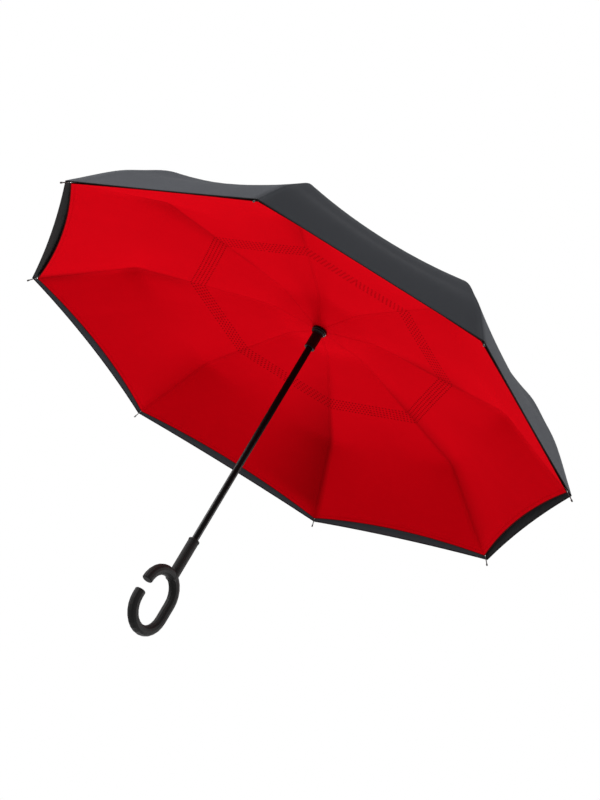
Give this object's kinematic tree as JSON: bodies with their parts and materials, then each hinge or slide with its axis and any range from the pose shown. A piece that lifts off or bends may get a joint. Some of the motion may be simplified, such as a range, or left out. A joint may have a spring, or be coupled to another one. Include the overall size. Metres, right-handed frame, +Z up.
{
  "type": "inverted umbrella",
  "caption": "Open inverted umbrella with a grey outer canopy, a red lining and a C-shaped grip.",
  "frame": {"origin": "on the shaft's axis, at the middle of the grip's loop", "axes": "+Z up along the shaft to the end cap, +X out through the gap of the grip, ribs from 22.5 degrees on"},
  "size_m": [0.9814, 0.9814, 0.8001],
  "materials": {
    "black_steel": "satin black",
    "black_plastic": "moulded",
    "soft_grip": "soft matt coat",
    "glass_fibre": "satin",
    "bright_steel": "plated",
    "outer_cloth": "woven",
    "lining_cloth": "woven"
  },
  "bodies": {
    "stick": {"shaft": "black_steel", "grip": "soft_grip", "crown": "black_plastic", "crown_wire": "bright_steel", "canopy_washer": "black_plastic", "end_cap": "black_plastic", "outer_canopy": "outer_cloth"},
    "runner": {"runner": "black_plastic", "runner_collar": "black_plastic", "runner_wire": "bright_steel", "lining": "lining_cloth"},
    "catch": {"runner_catch": "bright_steel"},
    "lower_arm_1": {"rib_1": "black_steel", "shoulder_rod_1": "glass_fibre"},
    "end_arm_1": {"end_rod_1": "glass_fibre", "tip_cap_1": "bright_steel"},
    "upper_arm_1": {"upper_rib_1": "black_steel"},
    "lower_arm_2": {"rib_2": "black_steel", "shoulder_rod_2": "glass_fibre"},
    "end_arm_2": {"end_rod_2": "glass_fibre", "tip_cap_2": "bright_steel"},
    "upper_arm_2": {"upper_rib_2": "black_steel"},
    "lower_arm_3": {"rib_3": "black_steel", "shoulder_rod_3": "glass_fibre"},
    "end_arm_3": {"end_rod_3": "glass_fibre", "tip_cap_3": "bright_steel"},
    "upper_arm_3": {"upper_rib_3": "black_steel"},
    "lower_arm_4": {"rib_4": "black_steel", "shoulder_rod_4": "glass_fibre"},
    "end_arm_4": {"end_rod_4": "glass_fibre", "tip_cap_4": "bright_steel"},
    "upper_arm_4": {"upper_rib_4": "black_steel"},
    "lower_arm_5": {"rib_5": "black_steel", "shoulder_rod_5": "glass_fibre"},
    "end_arm_5": {"end_rod_5": "glass_fibre", "tip_cap_5": "bright_steel"},
    "upper_arm_5": {"upper_rib_5": "black_steel"},
    "lower_arm_6": {"rib_6": "black_steel", "shoulder_rod_6": "glass_fibre"},
    "end_arm_6": {"end_rod_6": "glass_fibre", "tip_cap_6": "bright_steel"},
    "upper_arm_6": {"upper_rib_6": "black_steel"},
    "lower_arm_7": {"rib_7": "black_steel", "shoulder_rod_7": "glass_fibre"},
    "end_arm_7": {"end_rod_7": "glass_fibre", "tip_cap_7": "bright_steel"},
    "upper_arm_7": {"upper_rib_7": "black_steel"},
    "lower_arm_8": {"rib_8": "black_steel", "shoulder_rod_8": "glass_fibre"},
    "end_arm_8": {"end_rod_8": "glass_fibre", "tip_cap_8": "bright_steel"},
    "upper_arm_8": {"upper_rib_8": "black_steel"}
  },
  "joints": [
    {"name": "runner_slide", "type": "slide", "parent": "stick", "child": "runner", "axis": [0, 0, -1], "range_m": [0, 0.386], "deforming": ["outer_canopy", "lining"]},
    {"name": "catch_press", "type": "slide", "parent": "stick", "child": "catch", "axis": [0.7071, 0.7071, 0], "range_m": [0, 0.0024], "stiffness_N_per_m": 300, "springref_m": -0.004},
    {"name": "rib_swing_1", "type": "hinge", "parent": "runner", "child": "lower_arm_1", "pos_m": [0.01293, 0.00536, 0.611], "axis": [0.3827, -0.9239, 0], "range_deg": [0, 87.12]},
    {"name": "knee_fold_1", "type": "hinge", "parent": "lower_arm_1", "child": "end_arm_1", "pos_m": [0.33906, 0.14044, 0.567], "axis": [0.3827, -0.9239, 0], "range_deg": [0, 39.22]},
    {"name": "upper_rib_swing_1", "type": "hinge", "parent": "stick", "child": "upper_arm_1", "pos_m": [0.01293, 0.00536, 0.692], "axis": [-0.3827, 0.9239, 0], "range_deg": [0, 73.27]},
    {"name": "rib_swing_2", "type": "hinge", "parent": "runner", "child": "lower_arm_2", "pos_m": [0.00536, 0.01293, 0.611], "axis": [0.9239, -0.3827, 0], "range_deg": [0, 87.12]},
    {"name": "knee_fold_2", "type": "hinge", "parent": "lower_arm_2", "child": "end_arm_2", "pos_m": [0.14044, 0.33906, 0.567], "axis": [0.9239, -0.3827, 0], "range_deg": [0, 39.22]},
    {"name": "upper_rib_swing_2", "type": "hinge", "parent": "stick", "child": "upper_arm_2", "pos_m": [0.00536, 0.01293, 0.692], "axis": [-0.9239, 0.3827, 0], "range_deg": [0, 73.27]},
    {"name": "rib_swing_3", "type": "hinge", "parent": "runner", "child": "lower_arm_3", "pos_m": [-0.00536, 0.01293, 0.611], "axis": [0.9239, 0.3827, 0], "range_deg": [0, 87.12]},
    {"name": "knee_fold_3", "type": "hinge", "parent": "lower_arm_3", "child": "end_arm_3", "pos_m": [-0.14044, 0.33906, 0.567], "axis": [0.9239, 0.3827, 0], "range_deg": [0, 39.22]},
    {"name": "upper_rib_swing_3", "type": "hinge", "parent": "stick", "child": "upper_arm_3", "pos_m": [-0.00536, 0.01293, 0.692], "axis": [-0.9239, -0.3827, 0], "range_deg": [0, 73.27]},
    {"name": "rib_swing_4", "type": "hinge", "parent": "runner", "child": "lower_arm_4", "pos_m": [-0.01293, 0.00536, 0.611], "axis": [0.3827, 0.9239, 0], "range_deg": [0, 87.12]},
    {"name": "knee_fold_4", "type": "hinge", "parent": "lower_arm_4", "child": "end_arm_4", "pos_m": [-0.33906, 0.14044, 0.567], "axis": [0.3827, 0.9239, 0], "range_deg": [0, 39.22]},
    {"name": "upper_rib_swing_4", "type": "hinge", "parent": "stick", "child": "upper_arm_4", "pos_m": [-0.01293, 0.00536, 0.692], "axis": [-0.3827, -0.9239, 0], "range_deg": [0, 73.27]},
    {"name": "rib_swing_5", "type": "hinge", "parent": "runner", "child": "lower_arm_5", "pos_m": [-0.01293, -0.00536, 0.611], "axis": [-0.3827, 0.9239, 0], "range_deg": [0, 87.12]},
    {"name": "knee_fold_5", "type": "hinge", "parent": "lower_arm_5", "child": "end_arm_5", "pos_m": [-0.33906, -0.14044, 0.567], "axis": [-0.3827, 0.9239, 0], "range_deg": [0, 39.22]},
    {"name": "upper_rib_swing_5", "type": "hinge", "parent": "stick", "child": "upper_arm_5", "pos_m": [-0.01293, -0.00536, 0.692], "axis": [0.3827, -0.9239, 0], "range_deg": [0, 73.27]},
    {"name": "rib_swing_6", "type": "hinge", "parent": "runner", "child": "lower_arm_6", "pos_m": [-0.00536, -0.01293, 0.611], "axis": [-0.9239, 0.3827, 0], "range_deg": [0, 87.12]},
    {"name": "knee_fold_6", "type": "hinge", "parent": "lower_arm_6", "child": "end_arm_6", "pos_m": [-0.14044, -0.33906, 0.567], "axis": [-0.9239, 0.3827, 0], "range_deg": [0, 39.22]},
    {"name": "upper_rib_swing_6", "type": "hinge", "parent": "stick", "child": "upper_arm_6", "pos_m": [-0.00536, -0.01293, 0.692], "axis": [0.9239, -0.3827, 0], "range_deg": [0, 73.27]},
    {"name": "rib_swing_7", "type": "hinge", "parent": "runner", "child": "lower_arm_7", "pos_m": [0.00536, -0.01293, 0.611], "axis": [-0.9239, -0.3827, 0], "range_deg": [0, 87.12]},
    {"name": "knee_fold_7", "type": "hinge", "parent": "lower_arm_7", "child": "end_arm_7", "pos_m": [0.14044, -0.33906, 0.567], "axis": [-0.9239, -0.3827, 0], "range_deg": [0, 39.22]},
    {"name": "upper_rib_swing_7", "type": "hinge", "parent": "stick", "child": "upper_arm_7", "pos_m": [0.00536, -0.01293, 0.692], "axis": [0.9239, 0.3827, 0], "range_deg": [0, 73.27]},
    {"name": "rib_swing_8", "type": "hinge", "parent": "runner", "child": "lower_arm_8", "pos_m": [0.01293, -0.00536, 0.611], "axis": [-0.3827, -0.9239, 0], "range_deg": [0, 87.12]},
    {"name": "knee_fold_8", "type": "hinge", "parent": "lower_arm_8", "child": "end_arm_8", "pos_m": [0.33906, -0.14044, 0.567], "axis": [-0.3827, -0.9239, 0], "range_deg": [0, 39.22]},
    {"name": "upper_rib_swing_8", "type": "hinge", "parent": "stick", "child": "upper_arm_8", "pos_m": [0.01293, -0.00536, 0.692], "axis": [0.3827, 0.9239, 0], "range_deg": [0, 73.27]}
  ],
  "couplings": [
    {"joint": "rib_swing_1", "follows": "runner_slide", "rad_per_m": 3.9385},
    {"joint": "knee_fold_1", "follows": "runner_slide", "rad_per_m": 1.7724},
    {"joint": "upper_rib_swing_1", "follows": "runner_slide", "rad_per_m": 3.3119},
    {"joint": "rib_swing_2", "follows": "runner_slide", "rad_per_m": 3.9385},
    {"joint": "knee_fold_2", "follows": "runner_slide", "rad_per_m": 1.7724},
    {"joint": "upper_rib_swing_2", "follows": "runner_slide", "rad_per_m": 3.3119},
    {"joint": "rib_swing_3", "follows": "runner_slide", "rad_per_m": 3.9385},
    {"joint": "knee_fold_3", "follows": "runner_slide", "rad_per_m": 1.7724},
    {"joint": "upper_rib_swing_3", "follows": "runner_slide", "rad_per_m": 3.3119},
    {"joint": "rib_swing_4", "follows": "runner_slide", "rad_per_m": 3.9385},
    {"joint": "knee_fold_4", "follows": "runner_slide", "rad_per_m": 1.7724},
    {"joint": "upper_rib_swing_4", "follows": "runner_slide", "rad_per_m": 3.3119},
    {"joint": "rib_swing_5", "follows": "runner_slide", "rad_per_m": 3.9385},
    {"joint": "knee_fold_5", "follows": "runner_slide", "rad_per_m": 1.7724},
    {"joint": "upper_rib_swing_5", "follows": "runner_slide", "rad_per_m": 3.3119},
    {"joint": "rib_swing_6", "follows": "runner_slide", "rad_per_m": 3.9385},
    {"joint": "knee_fold_6", "follows": "runner_slide", "rad_per_m": 1.7724},
    {"joint": "upper_rib_swing_6", "follows": "runner_slide", "rad_per_m": 3.3119},
    {"joint": "rib_swing_7", "follows": "runner_slide", "rad_per_m": 3.9385},
    {"joint": "knee_fold_7", "follows": "runner_slide", "rad_per_m": 1.7724},
    {"joint": "upper_rib_swing_7", "follows": "runner_slide", "rad_per_m": 3.3119},
    {"joint": "rib_swing_8", "follows": "runner_slide", "rad_per_m": 3.9385},
    {"joint": "knee_fold_8", "follows": "runner_slide", "rad_per_m": 1.7724},
    {"joint": "upper_rib_swing_8", "follows": "runner_slide", "rad_per_m": 3.3119}
  ]
}
